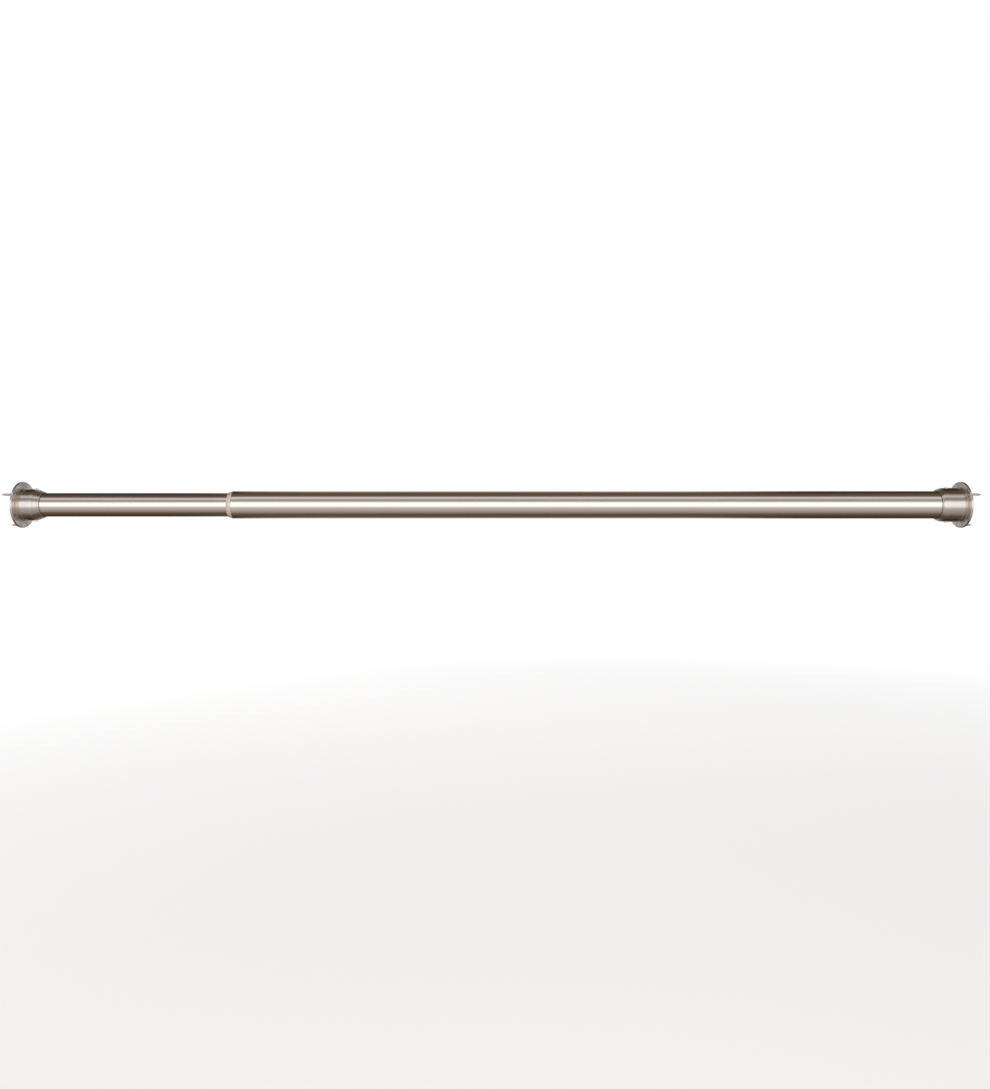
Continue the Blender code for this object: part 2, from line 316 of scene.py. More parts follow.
def math_node(tree, operation, first, second=0.0, third=0.0):
    inputs = {0: first, 1: second, 2: third}
    return add(tree, "ShaderNodeMath", inputs, operation=operation).outputs[0]


def sum_of(tree, total, *terms):
    """The total plus each (value, weight) term."""
    for value, weight in terms:
        total = math_node(tree, "MULTIPLY_ADD", value, weight, total)
    return total


def spread(tree, value, low, high, new_low=0.0, new_high=1.0):
    """Maps low..high smoothly onto new_low..new_high."""
    inputs = {"Value": value, "From Min": low, "From Max": high}
    inputs |= {"To Min": new_low, "To Max": new_high}
    node = add(tree, "ShaderNodeMapRange", inputs, interpolation_type="SMOOTHSTEP")
    return node.outputs["Result"]


def noise(tree, vector, scale, detail=2.0, roughness=0.5):
    """Noise from 0 to 1. The scale is one number, or three to stretch it along the axes."""
    if isinstance(scale, tuple):
        inputs = {"Vector": vector, "Scale": scale}
        vector, scale = add(tree, "ShaderNodeMapping", inputs).outputs["Vector"], 1.0
    inputs = {"Vector": vector, "Scale": scale, "Detail": detail, "Roughness": roughness}
    return add(tree, "ShaderNodeTexNoise", inputs).outputs["Fac"]


def scaled(tree, vector, scale):
    node = add(tree, "ShaderNodeVectorMath", {0: vector, "Scale": scale}, operation="SCALE")
    return node.outputs["Vector"]


def new_group(name, numbers, outputs):
    """A shader group that takes a place and some numbers, and puts out numbers. Gives the group,
    the sockets of what it is given, and a function that links a value to an output."""
    group = bpy.data.node_groups.new(name, "ShaderNodeTree")
    group.interface.new_socket(name="Vector", in_out="INPUT", socket_type="NodeSocketVector")
    for label in numbers:
        group.interface.new_socket(name=label, in_out="INPUT", socket_type="NodeSocketFloat")
    for label in outputs:
        group.interface.new_socket(name=label, in_out="OUTPUT", socket_type="NodeSocketFloat")
    given = group.nodes.new("NodeGroupInput").outputs
    result = group.nodes.new("NodeGroupOutput").inputs

    def give(**values):
        for label, value in values.items():
            group.links.new(value, result[label])

    return group, given, give


def make_drawn_grain():
    """Fine lines along X, as a tube drawn and then brushed lengthwise shows, and short scratches."""
    group, given, give = new_group("drawn_grain", ["Scratches"], ["Height", "Streak", "Scratch"])
    fine = noise(group, given["Vector"], (14, 5200, 5200), 3.0, 0.6)
    broad = noise(group, given["Vector"], (3, 900, 900), 2.0, 0.5)
    short = noise(group, given["Vector"], (45, 3400, 3400), 1.0, 0.4)
    scratch = math_node(group, "MULTIPLY", spread(group, short, 0.69, 0.76), given["Scratches"])
    streak = math_node(group, "MULTIPLY", math_node(group, "ADD", fine, broad), 0.5)
    give(Height=sum_of(group, fine, (broad, 0.6), (scratch, -0.35)), Streak=streak, Scratch=scratch)
    return group


def make_turning_rings():
    """Rings left by a lathe: noise read at the distance along X and the distance off the X axis, so
    it circles the axis on a face and on a neck alike, fading in and out round the turn."""
    group, given, give = new_group("turning_rings", [], ["Height", "Ring"])
    split = add(group, "ShaderNodeSeparateXYZ", {"Vector": given["Vector"]}).outputs
    across = math_node(group, "MULTIPLY", split["Y"], split["Y"])
    square = math_node(group, "MULTIPLY_ADD", split["Z"], split["Z"], across)
    off = math_node(group, "SQRT", square)
    place = add(group, "ShaderNodeCombineXYZ", {"X": split["X"], "Y": off}).outputs["Vector"]
    ring = sum_of(
        group, math_node(group, "MULTIPLY", noise(group, place, 6500.0, 2.0, 0.6), 0.7),
        (noise(group, place, 1300.0, 1.0, 0.5), 0.6),
    )
    patch = spread(group, noise(group, given["Vector"], 90.0, 1.0, 0.5), 0.25, 0.7, 0.65, 1.0)
    give(Height=math_node(group, "MULTIPLY", ring, patch), Ring=ring)
    return group


def make_handling():
    """Soft smudges left by hands, and fine specks of dust."""
    group, given, give = new_group("handling", ["Size"], ["Smudge", "Speck"])
    place = scaled(group, given["Vector"], given["Size"])
    large = spread(group, noise(group, place, 38.0, 3.0, 0.55), 0.5, 0.72)
    whorl = spread(group, noise(group, place, 420.0, 2.0, 0.5), 0.3, 0.7, 0.55, 1.0)
    speck = spread(group, noise(group, place, 2100.0, 1.0, 0.4), 0.76, 0.82)
    give(Smudge=math_node(group, "MULTIPLY", large, whorl), Speck=speck)
    return group


def make_corner_wear_and_shade():
    """Brightness of rubbed corners, and darkness of nooks from dust and painted shade, from a piece's
    own marks.
    """
    group, given, give = new_group("corner_wear_and_shade", ["Worn", "Nook"], ["Rubbed", "Dust"])
    broken = noise(group, given["Vector"], 900.0, 3.0, 0.6)
    rubbed = math_node(group, "MULTIPLY", given["Worn"], spread(group, broken, 0.3, 0.65, 0.25, 1.0))
    dust_and_shade = math_node(group, "MULTIPLY", given["Nook"], spread(group, broken, 0.35, 0.7, 0.35, 1.0))
    give(Rubbed=rubbed, Dust=dust_and_shade)
    return group


def make_moulded_skin():
    """The slight orange peel and flow mottling of moulded plastic."""
    group, given, give = new_group("moulded_skin", [], ["Height", "Mottle"])
    peel = noise(group, given["Vector"], 2600.0)
    give(Height=peel, Mottle=noise(group, given["Vector"], (160, 260, 260)))
    return group


def use_group(tree, group, **inputs):
    node = add(tree, "ShaderNodeGroup", node_tree=group)
    for name, value in inputs.items():
        if isinstance(value, bpy.types.NodeSocket):
            tree.links.new(value, node.inputs[name])
        else:
            node.inputs[name].default_value = value
    return node.outputs


def blend(tree, share, first, second):
    """Blends two colours, each an output or three numbers."""
    node = add(tree, "ShaderNodeMix", {0: share}, data_type="RGBA", clamp_factor=True)
    for socket, value in ((node.inputs[6], first), (node.inputs[7], second)):
        if isinstance(value, bpy.types.NodeSocket):
            tree.links.new(value, socket)
        else:
            socket.default_value = (*value, 1.0)
    return node.outputs[2]


class Look:
    """A material being built: its nodes, its shader, and the marks of wear and of dust with painted
    shade that all pieces carry.
    """

    def __init__(self, name, groups, size, metallic, specular=0.5):
        self.material = bpy.data.materials.new(name)
        self.material.use_nodes = True
        self.tree = self.material.node_tree
        self.groups = groups
        self.shader = self.tree.nodes["Principled BSDF"]
        self.shader.inputs["Metallic"].default_value = metallic
        self.shader.inputs["Specular IOR Level"].default_value = specular
        self.place = self.tree.nodes.new("ShaderNodeTexCoord").outputs["Object"]
        self.hands = self.group("handling", Size=size)
        self.wear_and_shade = self.group("corner_wear_and_shade", Worn=self.mark("worn"), Nook=self.mark("nook"))

    def group(self, name, **inputs):
        return use_group(self.tree, self.groups[name], Vector=self.place, **inputs)

    def mark(self, label):
        node = add(self.tree, "ShaderNodeAttribute", attribute_name=label)
        return node.outputs["Fac"]

    def colour(self, ground, rubbed, dust_and_shade, dust_and_shade_share):
        """Links the ground colour, lighter where it is rubbed and darker in the nooks, where dust and
        painted shade lie.
        """
        dust_and_shade_amount = math_node(self.tree, "MULTIPLY", self.wear_and_shade["Dust"], dust_and_shade_share)
        mixed = blend(self.tree, self.wear_and_shade["Rubbed"], ground, rubbed)
        mixed = blend(self.tree, dust_and_shade_amount, mixed, dust_and_shade)
        self.tree.links.new(mixed, self.shader.inputs["Base Color"])

    def roughness(self, ground, smudge, *terms):
        """Links the ground roughness plus smudges, specks, dust and any other terms."""
        handled = ((self.hands["Smudge"], smudge), (self.hands["Speck"], 0.15))
        total = sum_of(self.tree, ground, *handled, (self.wear_and_shade["Dust"], 0.28), *terms)
        self.tree.links.new(total, self.shader.inputs["Roughness"])

    def bump(self, height, distance):
        inputs = {"Strength": 1.0, "Distance": distance, "Height": height}
        node = add(self.tree, "ShaderNodeBump", inputs)
        self.tree.links.new(node.outputs["Normal"], self.shader.inputs["Normal"])


def make_drawn_nickel(name, groups, scratches):
    """Bright nickel plate over drawn tube: lengthwise lines, rubs and a faint change of tone."""
    look = Look(name, groups, 1.0, 1.0)
    grain = look.group("drawn_grain", Scratches=scratches)
    lines = spread(look.tree, grain["Streak"], 0.35, 0.65, 0.0, 0.5)
    # Lighter on rubbed corners, darker in the nooks with dust and painted shade
    look.colour(blend(look.tree, lines, NICKEL, NICKEL_LINE), NICKEL_RUBBED, DUST_AND_SHADE, 0.6)
    smooth = spread(look.tree, grain["Streak"], 0.3, 0.7, 0.12, 0.17)
    look.roughness(smooth, 0.05, (grain["Scratch"], 0.12))
    look.bump(grain["Height"], 1.1e-6)
    return look.material


def make_turned_nickel(groups):
    """Nickel plate over a turned casting: rings from the lathe, rubbed corners, dust and painted shade
    in the nooks, and a base face painted lighter as a highlight.
    """
    look = Look("turned_nickel", groups, 1.6, 1.0)
    rings = look.group("turning_rings")
    lines = spread(look.tree, rings["Ring"], 0.4, 0.9)
    ground = blend(look.tree, lines, CAST_LINE, CAST_NICKEL)
    # The base's face takes the lighter nickel as a painted highlight
    look.colour(blend(look.tree, look.mark("face"), ground, FACE_HIGHLIGHT_NICKEL), CAST_RUBBED, DUST_AND_SHADE, 0.75)
    smooth = spread(look.tree, rings["Ring"], 0.3, 0.9, 0.13, 0.19)
    look.roughness(smooth, 0.07)
    look.bump(rings["Height"], 4.0e-6)
    return look.material


def make_screw_steel(groups):
    """Zinc-bright steel: rolled threads with grime and painted shade in their roots and recesses, and
    rubbed crests.
    """
    look = Look("screw_steel", groups, 4.0, 1.0)
    grit = noise(look.tree, look.place, 5200.0, 3.0, 0.6)
    ground = blend(look.tree, spread(look.tree, grit, 0.35, 0.65), STEEL, STEEL_LIGHT)
    look.colour(ground, STEEL_RUBBED, GRIME_AND_SHADE, 0.8)
    look.roughness(spread(look.tree, grit, 0.3, 0.7, 0.17, 0.27), 0.08)
    look.bump(grit, 3.0e-6)
    return look.material


def make_cream_plastic(groups):
    """Cream moulded plastic, a little glossy where it rubs."""
    look = Look("cream_plastic", groups, 2.0, 0.0)
    skin = look.group("moulded_skin")
    mottle = spread(look.tree, skin["Mottle"], 0.3, 0.7)
    specks = math_node(look.tree, "MULTIPLY", look.hands["Speck"], 0.5)
    ground = blend(look.tree, specks, blend(look.tree, mottle, CREAM, CREAM_LIGHT), DUST_AND_SHADE)
    # Darker in the nooks with dust and painted shade
    look.colour(ground, CREAM_RUBBED, DUST_AND_SHADE, 0.6)
    smooth = spread(look.tree, skin["Mottle"], 0.3, 0.7, 0.30, 0.38)
    look.roughness(smooth, 0.06, (look.wear_and_shade["Rubbed"], -0.06))
    look.shader.inputs["Coat Weight"].default_value = 1.0
    look.shader.inputs["Coat Roughness"].default_value = 0.2
    look.shader.inputs["Coat IOR"].default_value = 1.7
    look.bump(skin["Height"], 5.0e-6)
    return look.material


# ---------------------------------------------------------------- stage

def make_camera():
    data = bpy.data.cameras.new("camera")
    data.lens = CAMERA_LENS
    data.shift_y = CAMERA_SHIFT
    data.clip_end = 200.0
    camera = bpy.data.objects.new("camera", data)
    camera.location = CAMERA_PLACE
    camera.rotation_euler = (math.pi / 2, 0.0, 0.0)
    bpy.context.scene.collection.objects.link(camera)
    bpy.context.scene.camera = camera


def make_surround():
    """A soft studio tent that runs the length of the rod, with a dark card behind each end and even
    cloth beyond them. The camera itself sees a plain white backdrop."""
    world = bpy.data.worlds.new("studio_tent")
    bpy.context.scene.world = world
    world.use_nodes = True
    tree = world.node_tree
    tree.nodes.clear()
    direction = tree.nodes.new("ShaderNodeTexCoord").outputs["Generated"]
    split = add(tree, "ShaderNodeSeparateXYZ", {"Vector": direction}).outputs
    front = math_node(tree, "MULTIPLY", split["Y"], -1.0)
    angle = math_node(tree, "ARCTAN2", split["Z"], front)
    share = math_node(tree, "MULTIPLY_ADD", angle, 1 / TURN, 0.5)
    lit = add(tree, "ShaderNodeValToRGB", {"Fac": share})
    ramp = lit.color_ramp
    ramp.elements.remove(ramp.elements[1])
    for number, (degrees, bright) in enumerate(TENT):
        if number:
            ramp.elements.new(degrees / 360 + 0.5)
        ramp.elements[number].position = degrees / 360 + 0.5
        ramp.elements[number].color = (bright, bright, bright, 1.0)
    cloth = blend(tree, lit.outputs["Color"], UNLIT_CLOTH, LIT_CLOTH)
    aside = math_node(tree, "ABSOLUTE", split["X"])
    near, full, fading, gone = CARD_ASIDE
    card = math_node(
        tree, "MULTIPLY", spread(tree, aside, near, full), spread(tree, aside, fading, gone, 1.0, 0.0)
    )
    card = math_node(tree, "MULTIPLY", card, spread(tree, split["Y"], *CARD_BEHIND, 0.0, -CARD))
    cloth = scaled(tree, cloth, math_node(tree, "ADD", card, 1.0))
    cloth = blend(tree, spread(tree, aside, *END_ASIDE, 0.0, END_SHARE), cloth, END_CLOTH)
    tent = add(tree, "ShaderNodeBackground", {"Color": cloth, "Strength": TENT_STRENGTH})
    plain = add(tree, "ShaderNodeBackground", {"Color": (1.0, 1.0, 1.0, 1.0), "Strength": 1.0})
    ray = tree.nodes.new("ShaderNodeLightPath").outputs["Is Camera Ray"]
    mix = add(tree, "ShaderNodeMixShader", {0: ray, 1: tent.outputs[0], 2: plain.outputs[0]})
    add(tree, "ShaderNodeOutputWorld", {"Surface": mix.outputs[0]})


def make_softbox(name, place, power):
    """A soft light aimed at the rod's middle. Metal reflects the surround and not the lamp."""
    data = bpy.data.lights.new(name, "AREA")
    data.shape = "RECTANGLE"
    data.size, data.size_y = SOFTBOX_SIZE
    data.energy = power
    data.color = SOFT_WHITE
    light = bpy.data.objects.new(name, data)
    light.location = place
    light.rotation_mode = "QUATERNION"
    light.rotation_quaternion = (Vector(ROD_MIDDLE) - Vector(place)).to_track_quat("-Z", "Y")
    light.visible_glossy = False
    light.visible_camera = False
    bpy.context.scene.collection.objects.link(light)


def make_floor():
    """A flat pale floor well under the rod. It pales with distance until it meets the backdrop."""
    half = FLOOR_SIZE / 2
    corners = [(-half, -half), (half, -half), (half, half), (-half, half)]
    mesh = bpy.data.meshes.new("floor")
    mesh.from_pydata([(x, y, -FLOOR_DROP) for x, y in corners], [], [(0, 1, 2, 3)])
    floor = bpy.data.objects.new("floor", mesh)
    bpy.context.scene.collection.objects.link(floor)
    material = bpy.data.materials.new("pale_floor")
    material.use_nodes = True
    tree = material.node_tree
    shader = tree.nodes["Principled BSDF"].inputs
    place = tree.nodes.new("ShaderNodeTexCoord").outputs["Object"]
    far = add(tree, "ShaderNodeVectorMath", {0: place}, operation="LENGTH").outputs["Value"]
    ray = tree.nodes.new("ShaderNodeLightPath").outputs["Is Camera Ray"]
    glow = math_node(tree, "MULTIPLY", spread(tree, far, *FLOOR_FADE, FLOOR_GLOW, 1.0), ray)
    shader["Base Color"].default_value = (0.3, 0.298, 0.296, 1.0)
    shader["Roughness"].default_value = 1.0
    shader["Specular IOR Level"].default_value = 0.0
    shader["Emission Color"].default_value = (1.0, 1.0, 1.0, 1.0)
    tree.links.new(glow, shader["Emission Strength"])
    mesh.materials.append(material)
    floor.visible_glossy = False


# ---------------------------------------------------------------- pieces

def finish_piece(obj, material, body, node):
    obj.data.materials.clear()
    obj.data.materials.append(material)
    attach(obj, body)
    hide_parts(node)


def half_height(node):
    low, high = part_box(node)
    return (high.z - low.z) / 2


def middle(node):
    low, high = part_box(node)
    return (low + high) / 2


def wall_end(side):
    """Place of a flange's wall face along the rod, and the way from it towards the rod's middle."""
    low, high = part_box(f"{side}_flange")
    return (high.x, -1.0) if side == "right" else (low.x, 1.0)


def feed_rings(radii):
    """Depth of the lathe's feed rings at each radius: the ring depth times the mean, over both
    pitches, of (1 - cos(turns * radius / pitch)) / 2, fading out towards both borders."""
    ripple = sum((1 - np.cos(TURN * radii / pitch)) / 2 for pitch in RING_PITCHES)
    inside = np.minimum(radii.max() - radii, radii - radii.min())
    return RING_DEPTH * ripple / len(RING_PITCHES) * np.clip(inside / RING_BORDER, 0, 1)


def make_flange(side, material):
    """Base, neck, shoulder and nose are one profile turned round the rod's axis, with feed rings
    on the base's face. Three countersinks and two cross holes are then taken out."""
    neck = NECKS[side]
    node = f"{side}_flange"
    wall, away = wall_end(side)
    base = half_height(node)
    heights, radii = profile([
        (0.0, 0.0, 0.0),
        (0.0, base, 0.3 * MM),
        (BASE_THICKNESS - RIM_EDGE, base, 0.15 * MM),
        (BASE_THICKNESS, base - RIM_EDGE, 0.15 * MM),
        (BASE_THICKNESS, neck["root"], ROOT_FILLET),
        (neck["length"], neck["end"], neck["end_bend"]),
        (neck["top"], neck["shoulder"], neck["top_bend"]),
        (neck["tip"], neck["mouth"], 0.4 * MM),
        (neck["tip"], neck["bore"], 0.2 * MM),
        (BASE_THICKNESS, neck["bore"], 0.3 * MM),
        (BASE_THICKNESS, 0.0, 0.0),
    ], 0.9 * MM)
    on_face = np.isclose(heights, BASE_THICKNESS, atol=1e-9) & (radii > neck["root"])
    first, last = np.flatnonzero(on_face)[[0, -1]]
    face = np.linspace(radii[first], radii[last], int((radii[first] - radii[last]) / RING_ROW))
    ringed = BASE_THICKNESS - feed_rings(face)
    heights = np.concatenate([heights[:first], ringed, heights[last + 1:]])
    radii = np.concatenate([radii[:first], face, radii[last + 1:]])
    angles = around(FLANGE_STEPS, 0.004)
    flange = carried_round(f"{node}_turned", heights, radii, angles, (wall, 0, 0), (away, 0, 0))
    cut_out(flange, [*sink_cutters(side), *set_hole_cutters(side)], 40)
    worn = [
        (BASE_THICKNESS, base), (0.0, base), (neck["length"], neck["end"]),
        (neck["tip"], neck["mouth"]), (neck["top"], neck["shoulder"]),
    ]
    # Nooks that dust and painted shade darken: the neck's root and the inside of its mouth
    nook = [
        (BASE_THICKNESS + 0.2 * MM, neck["root"] + 0.1 * MM),
        (neck["tip"], neck["bore"] - 0.2 * MM),
    ]
    mesh, place = mark_corners(flange, wall, worn, nook, 0.45 * MM)
    # Marks the base's face for the lighter nickel of its painted highlight
    face = (np.abs(place[:, 0] - BASE_THICKNESS) < 0.1 * MM) & (place[:, 1] > neck["root"] + 0.5 * MM)
    mesh.attributes.new("face", "FLOAT", "POINT").data.foreach_set("value", face.astype(np.float32))
    finish_piece(flange, material, node, node)


def sink_cutters(side):
    """Countersunk holes for the wood screws, past the base on both sides."""
    wall, away = wall_end(side)
    head = WALL_HEAD + SINK_CLEAR
    past = 2 * MM
    heights, radii = profile([
        (-past, 0.0, 0.0),
        (-past, SHANK_HOLE, 0.0),
        (BASE_THICKNESS - (head - SHANK_HOLE), SHANK_HOLE, 0.0),
        (BASE_THICKNESS + past, head + past, 0.0),
        (BASE_THICKNESS + past, 0.0, 0.0),
    ], past)
    angles = around(72, 0.013)
    for label in WALL_SCREW_LABELS:
        spot = middle(f"{side}_wall_screw_{label}")
        yield carried_round("sink", heights, radii, angles, (wall, spot.y, spot.z), (away, 0, 0))


def set_hole_cutters(side):
    """Cross holes for the set screws, each opening into a shallow bevel at the neck's surface."""
    neck = NECKS[side]
    past = 2 * MM
    bevel = 0.55 * MM
    heights, radii = profile([
        (neck["bore"] - past, 0.0, 0.0),
        (neck["bore"] - past, SET_HOLE, 0.0),
        (neck["root"] - bevel, SET_HOLE, 0.0),
        (neck["root"] + past, SET_HOLE + past, 0.0),
        (neck["root"] + past, 0.0, 0.0),
    ], 2 * past)
    angles = around(64, 0.017)
    for label, up in zip(SET_LABELS, (1.0, -1.0)):
        spot = middle(f"{side}_set_screw_{label}")
        yield carried_round("hole", heights, radii, angles, (spot.x, 0, 0), (0, 0, up))


def make_tube(node, bore, material):
    """A plain tube with softened ends: outer wall, end, bore and end as one closed loop of rows."""
    low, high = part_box(node)
    outer = half_height(node)
    length = high.x - low.x
    start = (0.0, (outer + bore) / 2, 0.0)
    heights, radii = profile([
        start,
        (0.0, outer, 0.22 * MM),
        (length, outer, 0.22 * MM),
        (length, bore, 0.2 * MM),
        (0.0, bore, 0.2 * MM),
        start,
    ], 16 * MM)
    tube = carried_round(
        f"{node}_drawn", heights[:-1], radii[:-1], around(160), (low.x, 0, 0), (1, 0, 0), closed=True
    )
    # Dust and painted shade darken the bore's edges at both ends
    worn, nook = [(0.0, outer), (length, outer)], [(0.0, bore), (length, bore)]
    mark_corners(tube, low.x, worn, nook, 0.35 * MM)
    finish_piece(tube, material, node, node)


def make_collar(material):
    """Moulded ring and sleeve. The ring tapers to the smaller tube, and two faint parting lines run
    along it above and below: the radius grows there by exp(-(angle / width) squared)."""
    node = "tube_collar"
    low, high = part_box(node)
    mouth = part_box("outer_tube")[0].x  # the outer tube's open end
    ring = half_height(node)
    length = high.x - low.x
    back = high.x - mouth + 0.06 * MM  # the ring's back face, from the hidden end of the sleeve
    land = back + COLLAR_LAND
    start = (0.0, (COLLAR_BORE + COLLAR_SLEEVE) / 2, 0.0)
    heights, radii = profile([
        start,
        (0.0, COLLAR_SLEEVE, 0.2 * MM),
        (back, COLLAR_SLEEVE, 0.05 * MM),
        (back, ring, 0.12 * MM),
        (land, ring, 0.5 * MM),
        (length - COLLAR_LIP, COLLAR_BORE + COLLAR_LIP, 0.2 * MM),
        (length, COLLAR_BORE + COLLAR_LIP / 2, 0.1 * MM),
        (length, COLLAR_BORE, 0.05 * MM),
        (0.0, COLLAR_BORE, 0.15 * MM),
        start,
    ], 1.0 * MM)
    heights, radii = heights[:-1], radii[:-1]
    angles = around(180)
    line = sum(np.exp(-((np.sin(angles / 2 - half) / 0.006) ** 2)) for half in (0.0, math.pi / 2))
    outside = (radii > COLLAR_SLEEVE + 0.1 * MM) & (heights > back + 0.1 * MM)
    radii = radii[:, None] - PARTING_LINE * outside[:, None] * (1 - line[None, :])
    collar = carried_round(
        f"{node}_moulded", heights, radii, angles, (high.x, 0, 0), (-1, 0, 0), closed=True
    )
    # Dust and painted shade darken the bore's end and the ring's back corner
    mark_corners(collar, high.x, [(land, ring)], [(length, COLLAR_BORE), (back, ring)], 0.3 * MM)
    finish_piece(collar, material, "outer_tube", node)


def make_glide(material):
    """Plug with three grip ribs, and a head that slides in the larger tube's bore."""
    node = "end_glide"
    low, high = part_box(node)
    head = half_height(node)
    length = high.x - low.x
    shoulder = length - GLIDE_HEAD_LENGTH
    rib = 0.12 * MM
    ribs = []
    for at in GLIDE_RIBS:
        ribs.append((at, GLIDE_PLUG, rib))
        ribs.append((at + 0.5 * MM, GLIDE_PLUG + rib, rib))
        ribs.append((at + 1.0 * MM, GLIDE_PLUG, rib))
    start = (0.0, (GLIDE_BORE + GLIDE_PLUG) / 2, 0.0)
    heights, radii = profile([
        start,
        (0.0, GLIDE_PLUG - 0.2 * MM, 0.2 * MM),
        (0.8 * MM, GLIDE_PLUG, 0.2 * MM),
        *ribs,
        (shoulder, GLIDE_PLUG, 0.2 * MM),
        (shoulder, head, 0.3 * MM),
        (length - GLIDE_CHAMFER, head, 0.4 * MM),
        (length, head - GLIDE_CHAMFER, 0.3 * MM),
        (length, GLIDE_BORE, 0.3 * MM),
        (0.0, GLIDE_BORE, 0.3 * MM),
        start,
    ], 0.8 * MM)
    glide = carried_round(
        f"{node}_moulded", heights[:-1], radii[:-1], around(144), (low.x, 0, 0), (1, 0, 0), closed=True
    )
    worn = [(length - GLIDE_CHAMFER, head), (shoulder, head)]
    # Dust and painted shade darken the corner where the plug meets the head
    mark_corners(glide, low.x, worn, [(shoulder, GLIDE_PLUG)], 0.4 * MM)
    finish_piece(glide, material, "inner_tube", node)


def thread(heights, pitch, angles, width):
    """A helical ridge: 1 on its crest, falling to 0 on both sides within its width, which is a
    share of the pitch."""
    turns = heights[:, None] / pitch - angles[None, :] / TURN
    off = np.abs((turns + 0.5) % 1.0 - 0.5)
    return np.clip(1 - off / (width / 2), 0, 1)


def cross_outline(angles):
    """Distance from the middle to the outline of a plus sign, along each angle."""
    c, s = np.abs(np.cos(angles)) + 1e-12, np.abs(np.sin(angles)) + 1e-12
    along = np.minimum(CROSS_HALF_LENGTH / c, CROSS_HALF_WIDTH / s)
    across = np.minimum(CROSS_HALF_WIDTH / c, CROSS_HALF_LENGTH / s)
    return np.maximum(along, across)


def cross_angles():
    """Even angles, and those of the plus sign's twelve corners."""
    lean = math.atan2(CROSS_HALF_WIDTH, CROSS_HALF_LENGTH)
    quarters = np.arange(4)[:, None] * TURN / 4
    corners = (quarters + np.array([-lean, lean, TURN / 8])) % TURN
    return np.unique(np.round(np.concatenate([around(60), corners.ravel()]), 9))


def make_wall_screw(side, label, material):
    """Countersunk wood screw: a helical ridge on a core that tapers to a point, a 45-degree head,
    and a cross recess whose outline narrows as it goes down."""
    node = f"{side}_wall_screw_{label}"
    low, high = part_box(node)
    spot = middle(node)
    away = wall_end(side)[1]
    face = high.x if away > 0 else low.x
    length = high.x - low.x
    angles = cross_angles()
    n = len(angles)
    neck = -(WALL_HEAD_EDGE / 2 + WALL_HEAD - WALL_CORE)  # where the head's cone meets the core
    down = np.linspace(-length, neck, 150)
    point = np.clip((down + length) / WALL_POINT, 0, 1)
    core = WALL_CORE * np.sqrt(point) * (0.35 + 0.65 * point)
    start = np.clip((down + length) / (2 * MM), 0, 1)[:, None]
    stop = np.clip((neck - 0.9 * MM - down) / (1.2 * MM), 0, 1)[:, None]
    ridge = thread(down, WALL_PITCH, angles, 0.42)
    tall = (WALL_CREST - WALL_CORE) * start * stop * (0.4 + 0.6 * point)[:, None]
    # Crests are rubbed, and thread roots are darkened with grime and painted shade
    shank = [
        np.broadcast_to(down[:, None], ridge.shape), core[:, None] + tall * ridge,
        0.7 * ridge * start, 0.6 * (1 - ridge) * stop,
    ]
    plus = cross_outline(angles)
    # The last column darkens the cross recess more the deeper it goes: grime and painted shade
    head = rows_of([
        (neck + 0.25 * MM, WALL_CORE + 0.12 * MM, 0.0, 0.3),
        (neck / 2, WALL_CORE - neck / 2, 0.0, 0.1),
        (-WALL_HEAD_EDGE, WALL_HEAD - 0.06 * MM, 0.3, 0.0),
        (-WALL_HEAD_EDGE * 0.75, WALL_HEAD, 0.6, 0.0),
        (-WALL_HEAD_EDGE * 0.35, WALL_HEAD, 0.6, 0.0),
        (-0.02 * MM, WALL_HEAD - 0.05 * MM, 0.6, 0.0),
        (0.0, WALL_HEAD - 0.14 * MM, 0.4, 0.0),
        (0.0, 2.2 * MM, 0.0, 0.0),
        (0.0, (np.maximum(plus * 1.1, 0.9 * MM) + plus * 1.1) / 2, 0.0, 0.0),
        (0.0, plus * 1.05, 0.2, 0.0),
        (-0.06 * MM, plus, 0.3, 0.2),
        (-0.5 * MM, plus * 0.8, 0.0, 0.7),
        (-0.95 * MM, plus * 0.6, 0.0, 0.9),
        (-1.2 * MM, plus * 0.3, 0.0, 1.0),
        (-1.3 * MM, 0.0, 0.0, 1.0),
    ], n)
    heights, radii, worn, nook = (np.concatenate(both) for both in zip(shank, head))
    screw = carried_round(
        f"{node}_rolled", heights, radii, angles, (face, spot.y, spot.z), (away, 0, 0),
        smooth=38, marks={"worn": worn, "nook": nook},
    )
    finish_piece(screw, material, f"{side}_flange", node)


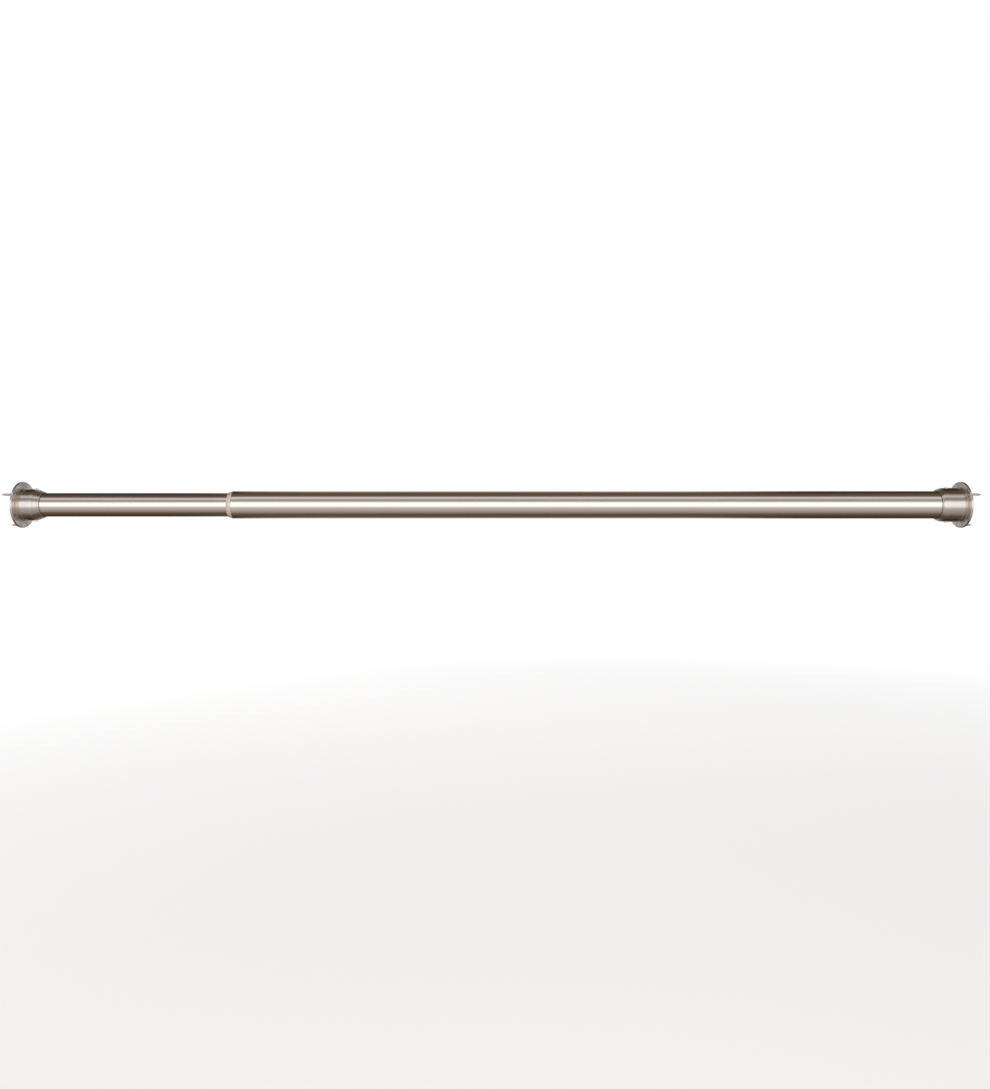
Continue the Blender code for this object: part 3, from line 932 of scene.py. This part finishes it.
def make_set_screw(side, label, material):
    """Hexagon-socket set screw: a rolled thread up to a smooth chamfered end, with a six-sided
    socket whose wall radius is its half width / cos(angle from the middle of its side)."""
    node = f"{side}_set_screw_{label}"
    low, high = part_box(node)
    up = 1.0 if label == "top" else -1.0
    tip, top = (low.z, high.z) if up > 0 else (-high.z, -low.z)
    angles = around(72)
    n = len(angles)
    shank = np.linspace(tip + 0.3 * MM, top - SET_PLAIN, 56)
    ridge = thread(shank, SET_PITCH, angles, 1.0)
    start = np.clip((shank - shank[0]) / (0.3 * MM), 0, 1)[:, None]
    stop = np.clip((shank[-1] - shank) / (0.3 * MM), 0, 1)[:, None]
    body = SET_ROOT + (SET_CREST - SET_ROOT) * (ridge * start * stop + 1 - stop)
    # Crests are rubbed, and thread roots are darkened with grime and painted shade
    threaded = [
        np.broadcast_to(shank[:, None], ridge.shape), body, 0.7 * ridge, 0.8 * (1 - ridge) * stop,
    ]
    point = rows_of([
        (tip + 0.15 * MM, 0.0, 0.0, 0.8),
        (tip + 0.1 * MM, 0.7 * MM, 0.0, 0.5),
        (tip, 1.1 * MM, 0.6, 0.0),
        (tip, 1.45 * MM, 0.4, 0.0),
    ], n)
    socket = SOCKET_HALF / np.cos((angles + TURN / 12) % (TURN / 6) - TURN / 12)
    # The last column darkens the socket more the deeper it goes: grime and painted shade
    crown = rows_of([
        (top - 0.7 * MM, SET_CREST, 0.0, 0.0),
        (top - SET_CHAMFER - 0.08 * MM, SET_CREST, 0.1, 0.0),
        (top - SET_CHAMFER, SET_CREST - 0.03 * MM, 0.3, 0.0),
        (top - 0.03 * MM, SET_CREST - SET_CHAMFER, 0.3, 0.0),
        (top, SET_CREST - SET_CHAMFER - 0.08 * MM, 0.2, 0.0),
        (top, socket + 0.16 * MM, 0.2, 0.0),
        (top - 0.12 * MM, socket, 0.2, 0.1),
        (top - 1.0 * MM, socket, 0.0, 0.6),
        (top - SOCKET_DEPTH + 0.05 * MM, socket, 0.0, 1.0),
        (top - SOCKET_DEPTH, socket - 0.05 * MM, 0.0, 1.0),
        (top - SOCKET_DEPTH - 0.4 * MM, 0.0, 0.0, 1.0),
    ], n)
    heights, radii, worn, nook = (np.concatenate(parts) for parts in zip(point, threaded, crown))
    screw = carried_round(
        f"{node}_rolled", heights, radii, angles, (middle(node).x, 0, 0), (0, 0, up),
        smooth=38, marks={"worn": worn, "nook": nook},
    )
    finish_piece(screw, material, node, node)


def main():
    bpy.context.scene.view_settings.view_transform = "Standard"
    make_camera()
    make_surround()
    make_floor()
    make_softbox("front_softbox", *FRONT_SOFTBOX)
    make_softbox("back_softbox", *BACK_SOFTBOX)
    made = [
        make_drawn_grain(), make_turning_rings(), make_handling(), make_corner_wear_and_shade(),
        make_moulded_skin(),
    ]
    groups = {group.name: group for group in made}
    turned_nickel = make_turned_nickel(groups)
    steel = make_screw_steel(groups)
    plastic = make_cream_plastic(groups)
    make_tube("outer_tube", OUTER_BORE, make_drawn_nickel("drawn_nickel", groups, 0.5))
    make_tube("inner_tube", INNER_BORE, make_drawn_nickel("drawn_nickel_rubbed", groups, 0.8))
    make_collar(plastic)
    make_glide(plastic)
    for side in NECKS:
        make_flange(side, turned_nickel)
        for label in WALL_SCREW_LABELS:
            make_wall_screw(side, label, steel)
        for label in SET_LABELS:
            make_set_screw(side, label, steel)


main()
